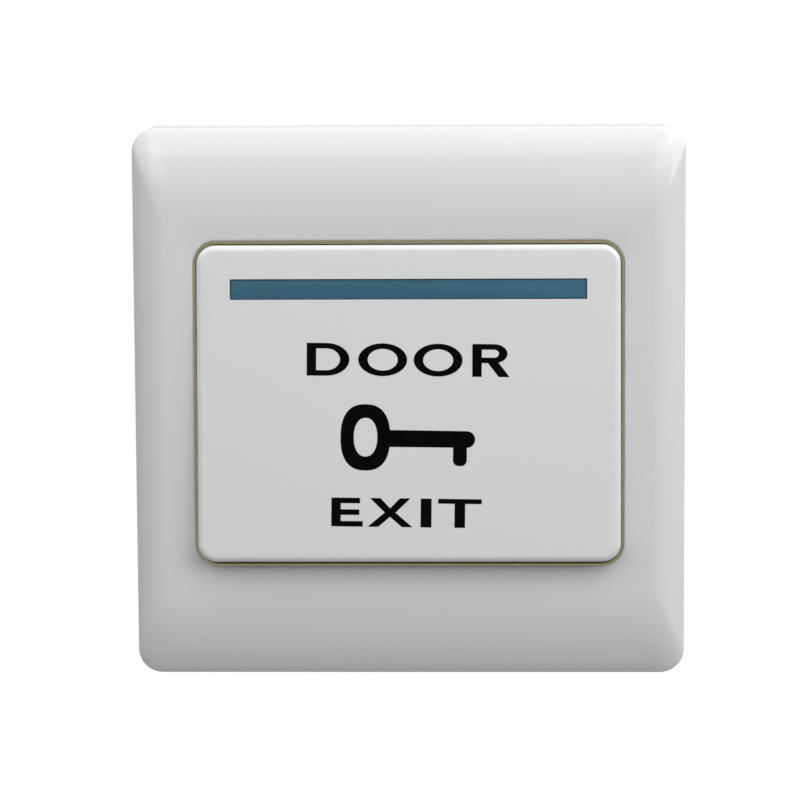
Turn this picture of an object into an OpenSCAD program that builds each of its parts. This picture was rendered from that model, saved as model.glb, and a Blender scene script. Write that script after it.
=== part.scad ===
// Door exit button on a standard 86 mm wall plate. Millimetres, +Z up, the front faces -Y.
// The origin is the middle of the plate in the plane of the wall, and the switch body is behind it at +Y.

/* [Cover frame] */
// Width and height of the cover frame
plate_w = 86; // [85:0.5:90]
// Corner radius of the cover frame, seen from the front
plate_corner_r = 3.8; // [3:0.1:5]
// Depth from the wall to the flat front of the cover frame
plate_depth = 9.2; // [9:0.1:10.5]
// Depth of the straight side walls, up to where the crown starts
edge_depth = 6.2; // [5.6:0.1:6.8]
// Width of the crowned band at the left and right
side_band = 5.3; // [4:0.1:6]
// Width of the crowned band at the top and bottom
end_band = 13.3; // [10:0.1:14]
// Corner radius of the flat zone around the trim ring
flat_corner_r = 0.8; // [0.5:0.1:2]
// Wall thickness of the cover frame
cover_wall = 1.8; // [1.4:0.1:2]
// Gap between the rear edge of the cover frame and the wall
wall_gap = 0.3; // [0.2:0.1:0.6]
// Width of each snap hook
hook_w = 8; // [6:0.5:10]
// Distance of the snap hooks from the middle of the plate
hook_x = 24; // [20:1:28]
// Width of the pry notch in the bottom edge
pry_w = 9; // [6:0.5:12]

/* [Trim ring] */
// Width of the cover frame beside the ring
side_margin = 9.45; // [9.2:0.05:10]
// Height of the cover frame above and below the ring
end_margin = 17.4; // [17.2:0.1:18]
// Outer corner radius of the trim ring
ring_corner_r = 3.7; // [3:0.1:4.5]
// Width of the metal-coloured land that shows
ring_land = 0.5; // [0.4:0.05:0.8]
// How far the front of the ring lies behind the front of the cover frame
ring_drop = 0.3; // [0:0.05:0.5]
// Gap between the ring and the opening of the cover frame
ring_gap = 0.05; // [0.03:0.01:0.3]
// Width of the flange that holds the ring behind the cover frame
flange_w = 1.5; // [1.2:0.1:1.8]
// Thickness of that flange
flange_t = 1.2; // [1:0.1:1.4]

/* [Rocker] */
// Gap between the rocker and the ring at the left and right
rocker_gap_x = 0.15; // [0.12:0.01:0.4]
// Gap between the rocker and the ring at the top and bottom, measured with the rocker level
rocker_gap_z = 0.4; // [0.35:0.05:0.6]
// Depth from the wall to the middle of the rocker's face
rocker_face = 10.9; // [10.7:0.1:11.3]
// Thickness of the rocker's face
rocker_t = 1.8; // [1.5:0.1:1.9]
// Depth of the rocker from its face to the rear of its rim
rim_depth = 6.2; // [5.6:0.1:6.3]
// Thickness of the rim
rim_t = 1.4; // [1.2:0.1:1.5]
// Corner radius of the rocker's face
rocker_corner_r = 2.9; // [2:0.1:3.2]
// Radius of the rocker's front edges
rocker_edge_r = 0.7; // [0.4:0.1:1]
// Tilt of the rocker at rest, with its lower edge out
rest_tilt = 3.3; // [2.5:0.1:3.5]
// Distance from the end of the coloured strip to the side of the rocker
strip_margin = 5.2; // [4:0.1:7]
// Height of the coloured strip
strip_h = 3.2; // [2.4:0.1:3.6]
// Distance from the middle of the strip to the top of the rocker
strip_drop = 6.85; // [6:0.05:7.4]
// Depth of the strip's face below the face of the rocker
strip_recess = 0.25; // [0.1:0.05:0.5]

/* [Cradle and plunger] */
// Depth from the wall to the axis of the rocker
pivot_depth = 5.9; // [5.7:0.1:6]
// Radius of the trunnion pins
pin_r = 1.5; // [1.2:0.05:1.6]
// Radial clearance of every running fit
fit = 0.05; // [0.03:0.01:0.08]
// Radius of the plunger
plunger_r = 2.1; // [1.8:0.05:2.3]
// Outer radius of the plunger's tube
tube_r = 3.5; // [3.2:0.1:4]
// Distance from the rocker's axis to the tip of the plunger
plunger_reach = 11.95; // [11.8:0.01:11.96]
// Distance of the return springs from the middle of the rocker
spring_x = 12; // [11:0.5:13]
// Height of the return springs below the axis
spring_z = 15; // [14:0.5:15.5]

/* [Mounting plate] */
// Distance from the outline of the cover frame to the edge of the mounting plate
carrier_margin = 3; // [2.8:0.1:4]
// Thickness of the mounting plate at its rim
carrier_t = 2.6; // [2.4:0.1:2.7]
// Distance from the side of the cover frame to a box screw, which leaves 60.3 mm between the two
screw_inset = 12.85; // [12.85:0.05:12.85]
// Width of the slots for the box screws
slot_w = 4.4; // [4:0.1:4.6]
// Length of the slots for the box screws
slot_l = 5; // [4.8:0.1:5]
// Radius of the pocket for the head of a box screw
head_pocket_r = 4.4; // [4:0.1:4.6]

/* [Switch housing] */
// Width of the housing
housing_w = 50; // [49:0.5:51]
// Height of the housing
housing_h = 47; // [46:0.5:48]
// Depth of the housing behind the wall plane
housing_depth = 17; // [16.8:0.1:18]
// Wall thickness of the housing
housing_wall = 2.2; // [1.8:0.1:2.4]
// Sideways distance of the terminal screws from the middle
terminal_x = 12; // [11.5:0.5:12.5]
// Distance from the top or bottom of the housing to its terminal screws
terminal_inset = 6.5; // [6.3:0.1:6.9]

/* [Contacts] */
// Distance from the rocker's axis to the axis of the contact lever
lever_drop = 14; // [14:0.1:14.2]
// Tilt of the contact lever at either end of its travel
lever_tilt = 7; // [6:0.5:7.5]
// Distance of each contact from the lever's axis
contact_z = 10; // [9:0.5:10.5]
// Radius of each contact
contact_r = 1.6; // [1.2:0.1:1.8]
// Thickness of the brass strip
brass_t = 1; // [0.8:0.1:1]

/* [Hidden] */

// Colours
cover_white = [0.86, 0.87, 0.86];
trim_gold = [0.45, 0.41, 0.26];
rocker_white = [0.84, 0.85, 0.85];
strip_blue = [0.20, 0.38, 0.46];
plate_grey = [0.80, 0.81, 0.80];
housing_grey = [0.72, 0.73, 0.73];
cradle_white = [0.78, 0.78, 0.76];
brass = [0.78, 0.62, 0.30];
silver = [0.82, 0.82, 0.80];
steel = [0.66, 0.67, 0.68];

// Small amounts: how far a cut passes a face, and how far a joined piece reaches into its neighbour
cut = 1;
join = 0.4;
// Points on each rounded corner and steps of the crown
arc_steps = 8;
crown_steps = 10;
// Roundness of exact curves
$fn = 48;

// Levels of the crown
crown_rise = plate_depth - edge_depth;
crown_power = 2;
crown_edge = 1.25;
cover_front_wall = 2;

// Trim ring, mounting plate and terminals
ring_w = plate_w - 2 * side_margin;
ring_h = plate_w - 2 * end_margin;
carrier_w = plate_w - 2 * carrier_margin;
screw_span = plate_w - 2 * screw_inset;
terminal_z = housing_h / 2 - terminal_inset;

// Rocker
rocker_w = ring_w - 2 * ring_land - 2 * rocker_gap_x;
rocker_h = ring_h - 2 * ring_land - 2 * rocker_gap_z;
face_y = pivot_depth - rocker_face;
inner_y = face_y + rocker_t;
rim_y = face_y + rim_depth;
strip_w = rocker_w - 2 * strip_margin;
strip_z = rocker_h / 2 - strip_drop;
strip_window_gap = 0.06;
strip_flange = 1;
strip_flange_t = 0.8;

// Cradle, in the rocker's own frame with the axis at the origin
web_t = 1.6;
pad_t = 0.6;
web_front = inner_y + pad_t;
web_rear = web_front + web_t;
web_x = spring_x + 5.5;
web_top = 12;
web_bottom = spring_z + 2.8;
web_corner_r = 2;
web_rib_t = 1.2;
bar_r = pin_r + 0.7;
lug_inner = web_x + 2.7;
lug_t = 3;
lug_r = pin_r + 0.9;
ramp_l = 1.6;
side_play = 0.3;
pin_out = 1;
tube_end = 8.4;
tube_floor = 0.2;
plunger_tail = 5.2;
post_r = 1.4;
post_l = 2;
light_hole_x = (tube_r + web_x) / 2;
light_hole_w = web_x - tube_r - 5.4;
light_hole_h = 6.2;
light_hole_z = 6.2;
light_hole_r = 1;

// Springs
return_wire_r = 0.25;
return_coil_r = 2.2;
return_turns = 7;
plunger_wire_r = 0.18;
plunger_coil_r = plunger_r - 0.4;
plunger_turns = 7;
coil_sides = 6;
coil_steps = 12;
spring_seat_gap = 0.05;
plunger_seat_gap = 0.1;

// Rocker cap
edge_steps = 5;
strip_corner_r = 0.3;
rib_x = 10;
rib_t = 1.2;
rib_play = 0.2;
rib_margin = 5;
rib_top = strip_z - strip_h / 2 - strip_flange - rib_play;
rib_foot = -rocker_h / 2 + rim_t + rib_margin;
side_rib_x = web_x + 8;
side_rib_l = 1;
// Cap clips
clip_z = 8;
clip_w = 5;
clip_t = 1.2;
clip_gap = 0.2;
clip_nose = 0.6;
clip_nose_h = 0.7;

// Snap hooks of the cover frame and their pockets in the mounting plate
hook_reach = plate_w / 2 - cover_wall - carrier_w / 2;
hook_play = 0.3;
hook_bite = 0.7;
hook_nose_h = 0.65;
hook_nose_gap = 0.25;
hook_clear = 0.1;
nose_pocket_d = wall_gap + hook_clear + hook_nose_h + hook_nose_gap;
nose_pocket_h = hook_bite + 0.5;
pocket_side = 0.5;
foot_w = 5;
foot_x = carrier_w / 2 - foot_w;
pry_depth = 1.1;
pry_bite = 1.3;

// Screws and clamp plates
clamp_w = 7.6;
clamp_t = 1.2;
clamp_lip = 0.8;
wire_room = 1.9;
m35_r = 1.75;
m35_head_r = 3.1;
m35_head_t = 2.1;
m35_tip = 5.6;
m25_r = 1.25;
m25_head_r = 2.4;
m25_head_t = 1.7;
m25_tip = 4.2;
hole_play = 0.2;
tip_play = 0.6;

// Mounting plate
carrier_corner_r = 2.4;
recess_d = 0.6;
recess_w = screw_span + slot_l + 5.1;
recess_h = housing_h + 7;
ear_play = 0.5;
inner_corner_r = 2;
window_w = 2 * (web_x + 1);
window_h = 2 * (web_bottom + 2.7);
collar_t = 2;
collar_h = 1;
pocket_d = 0.6;
boss_x = housing_w / 2 + m25_head_r + 0.3;
boss_z = housing_h / 2 - 7.5;
boss_r = 2.8;
boss_l = 2.6;
ear_r = 3.4;
boss_floor = 0.2;
ring_post_w = 3;
ring_post_x = ring_w / 2 + 0.1;
ring_post_t = flange_w - 0.1;
ring_post_z = 15;

// Contact lever and terminals
lever_y = lever_drop - pivot_depth;
lever_pin_r = 0.8;
lever_front = 2;
lever_w = 6;
lever_l = 2 * (contact_z + contact_r) + 0.4;
hub_margin = 0.5;
contact_t = 0.7;
fixed_t = 0.65;
fixed_gap = 0.13;
yoke_x = 3.4;
yoke_t = 0.9;
yoke_r = 1.7;
yoke_pin_out = 0.2;
strip_leg = 5;
strip_play = 0.3;
// Depth that the outer edge of a lever contact reaches when the lever is tilted onto it
contact_back = contact_t + brass_t - lever_front;
contact_face_y = lever_y + contact_back * cos(lever_tilt)
    + (contact_z + contact_r) * sin(lever_tilt);
strip_front = contact_face_y + fixed_gap + fixed_t;

// Housing
floor_y = strip_front + brass_t;
clamp_y = floor_y + wire_room;
floor_t = 2.2;
bar_z = terminal_z - 4.8;
bar_core_w = 9;
well_w = 9.4;
well_h = 8.8;
well_wall = 1.5;
boss_front = 3;
entry_w = 4.4;
ear_t = 2.6;
ear_bite = 1;
housing_front = -recess_d;
housing_corner_r = 2;
bar_corner_r = 1.5;

// Outline of a rounded rectangle at depth y, its points anticlockwise seen from the front
function corner_sign(q) = [[1, 1], [-1, 1], [-1, -1], [1, -1]][q];
function outline(w, h, r, y) = [for (q = [0:3], k = [0:arc_steps])
    let (a = 90 * q + 90 * k / arc_steps, s = corner_sign(q))
    [s[0] * (w / 2 - r) + r * cos(a), y, s[1] * (h / 2 - r) + r * sin(a)]];

// Solid through a list of outlines that all have the same number of points, from the rear to the front
module loft(rings) {
    n = len(rings[0]);
    m = len(rings);
    points = [for (ring = rings, p = ring) p];
    rear = [[for (j = [0:n - 1]) j]];
    front = [[for (j = [n - 1:-1:0]) (m - 1) * n + j]];
    sides = [for (i = [0:m - 2], j = [0:n - 1])
        [i * n + j, (i + 1) * n + j, (i + 1) * n + (j + 1) % n, i * n + (j + 1) % n]];
    polyhedron(points, concat(rear, front, sides));
}

// Height of the crown, 0 to 1, over a band that runs from u = 0 at the edge to u = 1 at the flat zone
function crown(u) = pow(1 - pow(1 - u, crown_power), 1 / crown_edge);
function crown_corner(u) = flat_corner_r + (plate_corner_r - flat_corner_r) * (1 - pow(u, 3));

// Crowned block. The inset takes the wall thickness off its outline, and the drop takes it off its front
module crowned_block(inset, drop, rear) {
    w = plate_w - 2 * inset;
    steps = [for (k = [0:crown_steps]) pow(k / crown_steps, 1.6)];
    base = outline(w, w, plate_corner_r - inset, -rear);
    loft(concat([base], [for (u = steps)
        outline(w - 2 * side_band * u, w - 2 * end_band * u,
            max(crown_corner(u) - inset, flat_corner_r),
            -(edge_depth - drop) - crown_rise * crown(u))]));
}

// Rounded rectangle that fills the depth from y0 to y1
module slab(w, h, r, y0, y1) {
    translate([0, y1, 0]) rotate([90, 0, 0]) linear_extrude(y1 - y0) rounded(w, h, r);
}

module rounded(w, h, r) {
    square([w - 2 * r, h], center = true);
    square([w, h - 2 * r], center = true);
    for (x = [-1, 1], z = [-1, 1])
        translate([x * (w / 2 - r), z * (h / 2 - r)]) circle(r);
}

// Rod along Y from y0 to y1
module rod_y(r, y0, y1) {
    translate([0, y1, 0]) rotate([90, 0, 0]) cylinder(r = r, h = y1 - y0);
}

// Rod along X from x0 to x1
module rod_x(r, x0, x1) {
    translate([x0, 0, 0]) rotate([0, 90, 0]) cylinder(r = r, h = x1 - x0);
}

// Box given by its middle in X and Z and its range in Y
module block(w, h, y0, y1) {
    translate([-w / 2, y0, -h / 2]) cube([w, y1 - y0, h]);
}

// Places a child in the rocker's own frame, tilted to its rest position
module on_rocker() {
    translate([0, -pivot_depth, 0]) rotate([-rest_tilt, 0, 0]) children();
}

// Places a child in the contact lever's own frame, tilted to its rest position
module on_lever() {
    translate([0, lever_y, 0]) rotate([lever_tilt, 0, 0]) children();
}

// Compression spring along Y from y0 to y1, its wire swept round the coil as one closed tube
module coil_spring(coil_r, wire_r, y0, y1, turns) {
    n = turns * coil_steps;
    rise = (y1 - y0 - 2 * wire_r) / n;
    points = [for (i = [0:n], j = [0:coil_sides - 1])
        let (a = 360 * i / coil_steps, b = 360 * j / coil_sides, r = coil_r + wire_r * cos(b))
        [r * cos(a), y0 + wire_r + rise * i + wire_r * sin(b), r * sin(a)]];
    start = [[for (j = [0:coil_sides - 1]) j]];
    end = [[for (j = [coil_sides - 1:-1:0]) n * coil_sides + j]];
    wall = [for (i = [0:n - 1], j = [0:coil_sides - 1])
        let (a = i * coil_sides + j, b = i * coil_sides + (j + 1) % coil_sides)
        each [[a, a + coil_sides, b], [b, a + coil_sides, b + coil_sides]]];
    polyhedron(points, concat(start, end, wall));
}

// Sites of the three clamp terminals and of the four housing screws, as X and Z
terminal_sites = [[-terminal_x, -terminal_z], [terminal_x, -terminal_z], [terminal_x, terminal_z]];
housing_sites = [for (x = [-1, 1], z = [-1, 1]) [x * boss_x, z * boss_z]];

module at(site) {
    translate([site[0], 0, site[1]]) children();
}

// Clip-on frame: a crowned shell with an opening for the ring, four snap hooks, corner feet and a pry notch
module cover_frame() color(cover_white) {
    difference() {
        crowned_block(0, 0, wall_gap);
        difference() {
            crowned_block(cover_wall, cover_front_wall, -cut);
            cover_feet();
        }
        slab(ring_w + 2 * ring_gap, ring_h + 2 * ring_gap, ring_corner_r + ring_gap,
            -plate_depth - cut, 0);
        slab(ring_w + 2 * (flange_w + ring_gap), ring_h + 2 * (flange_w + ring_gap),
            ring_corner_r + flange_w, -plate_depth + cover_front_wall, cut);
        translate([0, 0, -plate_w / 2]) block(pry_w, 2 * pry_bite, -wall_gap - pry_depth, cut);
    }
    for (x = [-1, 1], z = [-1, 1]) scale([1, 1, z])
        translate([x * hook_x, 0, plate_w / 2 - cover_wall]) snap_hook();
}

// Feet in the corners of the shell that stand on the mounting plate
module cover_feet() {
    for (x = [-1, 1], z = [-1, 1]) translate([x * foot_x, 0, z * foot_x])
        block(foot_w, foot_w, -plate_depth, -carrier_t);
}

// Hook on the inner face of the shell, with a nose behind the edge of the mounting plate
module snap_hook() {
    root = -edge_depth + cover_front_wall - join;
    tip = -wall_gap - hook_clear;
    nose = tip - hook_nose_h;
    low = -hook_reach - hook_bite;
    top = hook_play - hook_reach;
    translate([-hook_w / 2, root, top]) cube([hook_w, tip - root, hook_reach]);
    translate([-hook_w / 2, 0, 0]) rotate([90, 0, 90]) linear_extrude(hook_w)
        polygon([[nose, low], [nose, top + join], [tip, top + join], [tip, low + hook_bite / 2]]);
}

// Metal-coloured ring in the opening, held by a flange behind the cover frame
module trim_ring() color(trim_gold) {
    seat = -plate_depth + cover_front_wall;
    difference() {
        union() {
            slab(ring_w, ring_h, ring_corner_r, -plate_depth + ring_drop, seat + flange_t);
            slab(ring_w + 2 * flange_w, ring_h + 2 * flange_w, ring_corner_r + flange_w,
                seat, seat + flange_t);
        }
        slab(ring_w - 2 * ring_land, ring_h - 2 * ring_land, ring_corner_r - ring_land,
            -plate_depth - cut, cut);
    }
}

// Plate that is screwed to the wall box and carries the housing, the rocker's bearings and the cover
module mounting_plate() color(plate_grey) {
    front = -carrier_t;
    difference() {
        union() {
            slab(carrier_w, carrier_w, carrier_corner_r, front, 0);
            slab(window_w + 2 * collar_t, window_h + 2 * collar_t, inner_corner_r,
                front - collar_h, front + join);
            for (s = housing_sites) at(s) rod_y(boss_r, front - boss_l, front + join);
            for (x = [-1, 1]) scale([x, 1, 1]) bearing_lug();
            for (x = [-1, 1], z = [-1, 1]) scale([x, 1, z])
                translate([ring_post_x + ring_post_t / 2, 0, ring_post_z])
                block(ring_post_t, ring_post_w, -plate_depth + cover_front_wall + flange_t,
                    front + join);
        }
        slab(recess_w, recess_h, inner_corner_r, -recess_d, cut);
        for (s = housing_sites) at(s) rod_y(ear_r + ear_play, -recess_d, cut);
        slab(window_w, window_h, inner_corner_r / 2, front - collar_h - cut, cut);
        for (x = [-1, 1]) translate([x * screw_span / 2, 0, 0]) box_screw_slot();
        for (s = housing_sites) at(s) rod_y(m25_r + fit, -m25_tip - boss_floor, cut);
        for (x = [-1, 1]) rod_x_at(pin_r + fit, x * (lug_inner + lug_t / 2), lug_t + 2 * cut);
        for (x = [-1, 1], z = [-1, 1]) scale([x, 1, z])
            translate([hook_x, 0, carrier_w / 2])
                block(hook_w + 2 * pocket_side, 2 * nose_pocket_h, -nose_pocket_d, cut);
    }
}

// Rod along X on the rocker's axis, given by its middle and its length
module rod_x_at(r, x, l) {
    translate([0, -pivot_depth, 0]) rod_x(r, x - l / 2, x + l / 2);
}

// Lug with a round end that carries one trunnion pin, and a ramp that the pin slides over when it snaps in
module bearing_lug() {
    crest = -pivot_depth - lug_r;
    difference() {
        union() {
            translate([0, -pivot_depth, 0]) rod_x(lug_r, lug_inner, lug_inner + lug_t);
            translate([lug_inner + lug_t / 2, 0, 0])
                block(lug_t, 2 * lug_r, -pivot_depth, -carrier_t + join);
        }
        translate([0, 0, -lug_r - cut]) linear_extrude(2 * (lug_r + cut)) polygon([
            [lug_inner - cut, crest - cut], [lug_inner + lug_t / 2, crest - cut],
            [lug_inner, crest + ramp_l], [lug_inner - cut, crest + ramp_l]]);
    }
}

// Slot for a box screw with a pocket for its head
module box_screw_slot() {
    run = (slot_l - slot_w) / 2;
    block(2 * run, slot_w, -carrier_t - cut, cut);
    for (x = [-run, run]) translate([x, 0, 0]) rod_y(slot_w / 2, -carrier_t - cut, cut);
    block(2 * run, 2 * head_pocket_r, -carrier_t - cut, -carrier_t + pocket_d);
    for (x = [-run, run]) translate([x, 0, 0])
        rod_y(head_pocket_r, -carrier_t - cut, -carrier_t + pocket_d);
}

// Box behind the mounting plate: a chamber for the contacts, open to the front, and two raised bars
// of terminal wells at the rear
module switch_housing() color(housing_grey) {
    difference() {
        union() {
            slab(housing_w, housing_h, housing_corner_r, housing_front, floor_y + floor_t);
            for (z = [-1, 1]) translate([0, 0, z * (bar_z + housing_h / 2) / 2])
                slab(housing_w, housing_h / 2 - bar_z, bar_corner_r, floor_y, housing_depth);
            for (s = housing_sites) screw_ear(s);
        }
        difference() {
            slab(housing_w - 2 * housing_wall, housing_h - 2 * housing_wall, inner_corner_r / 2,
                housing_front - cut, floor_y);
            for (s = terminal_sites) at(s) block(well_w + 2 * well_wall, well_h + well_wall,
                boss_front, floor_y + join);
            for (x = [-1, 1]) translate([x * spring_x, 0, -spring_z])
                rod_y(post_r, boss_front - post_l, floor_y);
        }
        for (s = terminal_sites) at(s) terminal_well(s[1] > 0 ? 1 : -1);
        strip_channel(terminal_sites[0], 0);
        strip_channel(terminal_sites[1], -contact_z);
        strip_channel(terminal_sites[2], contact_z);
        for (s = housing_sites) at(s) rod_y(m25_r + hole_play, housing_front - cut, ear_t + cut);
        for (z = [-1, 1]) translate([0, 0, z * terminal_z])
            block(bar_core_w, well_h, floor_y + floor_t, housing_depth + cut);
        translate([-terminal_x, 0, terminal_z])
            block(well_w, well_h, floor_y + floor_t, housing_depth + cut);
    }
}

// Ear for a housing screw, joined to the side of the box
module screw_ear(s) {
    side = s[0] > 0 ? 1 : -1;
    root = housing_w / 2 - ear_bite;
    at(s) rod_y(ear_r, housing_front, ear_t);
    translate([side * (root + boss_x) / 2, 0, s[1]])
        block(boss_x - root, 2 * ear_r, housing_front, ear_t);
}

// Well that is open to the rear, with a wire entry from the outer side and a bore for the screw's tip
module terminal_well(side) {
    block(well_w, well_h, strip_front, housing_depth + cut);
    rod_y(m35_r + hole_play, m35_tip - tip_play, floor_y);
    translate([0, 0, side * (housing_h / 2 - terminal_z)])
        block(entry_w, 2 * housing_wall + cut, floor_y, housing_depth + cut);
}

// Way for a terminal strip through the wall between its well and the chamber
module strip_channel(site, z_end) {
    side = site[1] > 0 ? 1 : -1;
    half = strip_leg / 2 + hole_play;
    reach = z_end - side * half;
    translate([site[0], 0, (site[1] + reach) / 2])
        block(2 * half, abs(site[1] - reach), strip_front, floor_y);
    lead = abs(site[0]) + half;
    translate([site[0] > 0 ? lead / 2 : -lead / 2, 0, z_end])
        block(lead, 2 * half, strip_front, floor_y);
}

// Flat strip that runs from a square pad under the terminal screw to a height, then across to the middle
module terminal_strip(site, z_end) {
    side = site[0] > 0 ? 1 : -1;
    half = strip_leg / 2;
    far = z_end + (z_end > site[1] ? half : -half);
    difference() {
        union() {
            translate([site[0], 0, (site[1] + far) / 2])
                block(strip_leg, abs(site[1] - far), strip_front, floor_y);
            translate([(site[0] - side * half) / 2 + side * half, 0, z_end])
                block(abs(site[0]) + half, strip_leg, strip_front, floor_y);
            translate([0, 0, z_end]) block(strip_leg, strip_leg, strip_front, floor_y);
            at(site) block(well_w - 2 * strip_play, well_h - 2 * strip_play, strip_front, floor_y);
        }
        at(site) rod_y(m35_r + fit, strip_front - cut, floor_y + cut);
    }
}

// Common terminal: its strip ends in a yoke whose two cheeks carry the contact lever
module common_terminal() color(brass) {
    terminal_strip(terminal_sites[0], 0);
    block(2 * (yoke_x + yoke_t), strip_leg, strip_front, floor_y);
    difference() {
        for (x = [-1, 1]) scale([x, 1, 1]) {
            translate([yoke_x + yoke_t / 2, 0, 0])
                block(yoke_t, 2 * yoke_r, lever_y, strip_front + join);
            translate([0, lever_y, 0]) rod_x(yoke_r, yoke_x, yoke_x + yoke_t);
        }
        translate([0, lever_y, 0])
            rod_x(lever_pin_r + fit, -yoke_x - yoke_t - cut, yoke_x + yoke_t + cut);
    }
}

module open_terminal() color(brass) terminal_strip(terminal_sites[2], contact_z);

module closed_terminal() color(brass) terminal_strip(terminal_sites[1], -contact_z);

// Fixed contact: a button riveted on the front of its strip
module fixed_contact(z) {
    translate([0, 0, z]) rod_y(contact_r, contact_face_y + fixed_gap, strip_front);
}

module open_contact() color(silver) fixed_contact(contact_z);

module closed_contact() color(silver) fixed_contact(-contact_z);

// Clamp plates: one square plate behind each terminal strip, with its two edges bent towards the strip
module clamp_plates() color(steel) {
    for (s = terminal_sites) at(s) difference() {
        union() {
            block(clamp_w, clamp_w, clamp_y, clamp_y + clamp_t);
            for (x = [-1, 1]) translate([x * (clamp_w - clamp_t) / 2, 0, 0])
                block(clamp_t, clamp_w, clamp_y - clamp_lip, clamp_y + clamp_t);
        }
        rod_y(m35_r + hole_play, clamp_y - cut, clamp_y + clamp_t + cut);
    }
}

// Screw along Y with a cheese head and a cross slot, its head towards the rear
module slotted_screw(r, head_r, head_t, tip, head_y) {
    difference() {
        union() {
            rod_y(r, tip, head_y + join);
            rod_y(head_r, head_y, head_y + head_t);
        }
        block(2 * head_r + cut, head_r / 4, head_y + head_t / 2, head_y + head_t + cut);
    }
}

module terminal_screws() color(brass) {
    for (s = terminal_sites) at(s)
        slotted_screw(m35_r, m35_head_r, m35_head_t, m35_tip, clamp_y + clamp_t);
}

module housing_screws() color(steel) {
    for (s = housing_sites) at(s)
        slotted_screw(m25_r, m25_head_r, m25_head_t, -m25_tip, ear_t);
}

// Return spring between its post on the housing and its post on the cradle, in the rest position
module return_spring(side) {
    seat = -pivot_depth + web_rear - spring_z * sin(rest_tilt) + return_coil_r * tan(rest_tilt);
    translate([side * spring_x, 0, -spring_z])
        coil_spring(return_coil_r, return_wire_r, seat + spring_seat_gap,
            boss_front - spring_seat_gap, return_turns);
}

module return_spring_left() color(steel) return_spring(-1);

module return_spring_right() color(steel) return_spring(1);

// Rocker cap: a shallow tray with rounded front edges, a window for the strip, ribs and four clips
module rocker_cap() color(rocker_white) on_rocker() {
    steps = [for (k = [0:edge_steps]) 90 * k / edge_steps];
    rim = outline(rocker_w, rocker_h, rocker_corner_r, rim_y);
    rib_h = rib_top - rib_foot;
    rib_z = (rib_top + rib_foot) / 2;
    difference() {
        loft(concat([rim], [for (a = steps) let (inset = rocker_edge_r * (1 - cos(a)))
            outline(rocker_w - 2 * inset, rocker_h - 2 * inset, rocker_corner_r - inset,
                face_y + rocker_edge_r * (1 - sin(a)))]));
        difference() {
            slab(rocker_w - 2 * rim_t, rocker_h - 2 * rim_t, rocker_corner_r - rim_t,
                inner_y, rim_y + cut);
            for (x = [-1, 1]) translate([x * rib_x, 0, rib_z])
                block(rib_t, rib_h, inner_y - join, web_front);
            for (x = [-1, 1]) translate([x * side_rib_x, 0, rib_z])
                block(rib_t, rib_h, inner_y - join, inner_y + side_rib_l);
            for (x = [-1, 1], z = [-1, 1]) scale([x, 1, 1]) translate([0, 0, z * clip_z])
                cap_clip();
        }
        translate([0, 0, strip_z]) slab(strip_w, strip_h, strip_corner_r,
            face_y - cut, inner_y + cut);
    }
}

// Clip that reaches behind the edge of the cradle's web
module cap_clip() {
    x0 = web_x + clip_gap;
    translate([x0, inner_y - join, -clip_w / 2])
        cube([clip_t, web_rear + clip_gap + clip_nose_h - inner_y + join, clip_w]);
    translate([0, 0, -clip_w / 2]) linear_extrude(clip_w) polygon([
        [x0 + join, web_rear + clip_gap], [x0 - clip_nose, web_rear + clip_gap],
        [x0, web_rear + clip_gap + clip_nose_h],
        [x0 + join, web_rear + clip_gap + clip_nose_h]]);
}

// Coloured strip that fills the window of the cap, with a flange behind the face
module light_strip() color(strip_blue) on_rocker() translate([0, 0, strip_z]) {
    gap = 2 * strip_window_gap;
    slab(strip_w - gap, strip_h - gap, strip_corner_r, face_y + strip_recess,
        inner_y + strip_flange_t);
    slab(strip_w + 2 * strip_flange, strip_h + 2 * strip_flange, strip_corner_r,
        inner_y, inner_y + strip_flange_t);
}

// Cradle under the cap: a web with windows, a bar with two trunnion pins, the plunger's tube
// and two spring posts
module rocker_cradle() color(cradle_white) on_rocker() {
    web_h = web_top + web_bottom;
    web_mid = (web_top - web_bottom) / 2;
    pin_l = lug_t + pin_out;
    difference() {
        union() {
            translate([0, 0, web_mid]) slab(2 * web_x, web_h, web_corner_r, web_front, web_rear);
            rod_x(bar_r, side_play - lug_inner, lug_inner - side_play);
            rod_x(pin_r, -lug_inner - pin_l, lug_inner + pin_l);
            rod_y(tube_r, web_rear - join, tube_end);
            for (x = [-1, 1]) translate([x * spring_x, 0, -spring_z])
                rod_y(post_r, web_rear - join, web_rear + post_l);
            for (x = [-1, 1]) translate([x * (web_x - web_rib_t), 0, web_mid])
                block(web_rib_t, web_h - 2 * web_corner_r, web_rear - join, web_rear + web_rib_t);
        }
        rod_y(plunger_r + fit, tube_floor, tube_end + cut);
        for (x = [-1, 1], z = [-1, 1]) translate([x * light_hole_x, 0, z * light_hole_z])
            slab(light_hole_w, light_hole_h, light_hole_r, web_front - cut, web_rear + cut);
    }
}

// Plunger in the cradle's tube, with a round tip that runs on the contact lever
module plunger() color(housing_grey) on_rocker() {
    tip = plunger_reach - plunger_r;
    rod_y(plunger_r, plunger_tail, tip);
    translate([0, tip, 0]) sphere(plunger_r);
}

module plunger_spring() color(steel) on_rocker() {
    coil_spring(plunger_coil_r, plunger_wire_r, tube_floor + plunger_seat_gap,
        plunger_tail - plunger_seat_gap, plunger_turns);
}

// Contact lever: a flat brass see-saw on a hub with two pivot pins
module contact_lever() color(brass) on_lever() {
    block(lever_w, lever_l, -lever_front, -lever_front + brass_t);
    block(lever_w, 2 * (lever_pin_r + hub_margin), -lever_front, lever_pin_r);
    pin_end = yoke_x + yoke_t + yoke_pin_out;
    rod_x(lever_pin_r, -pin_end, pin_end);
}

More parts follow.
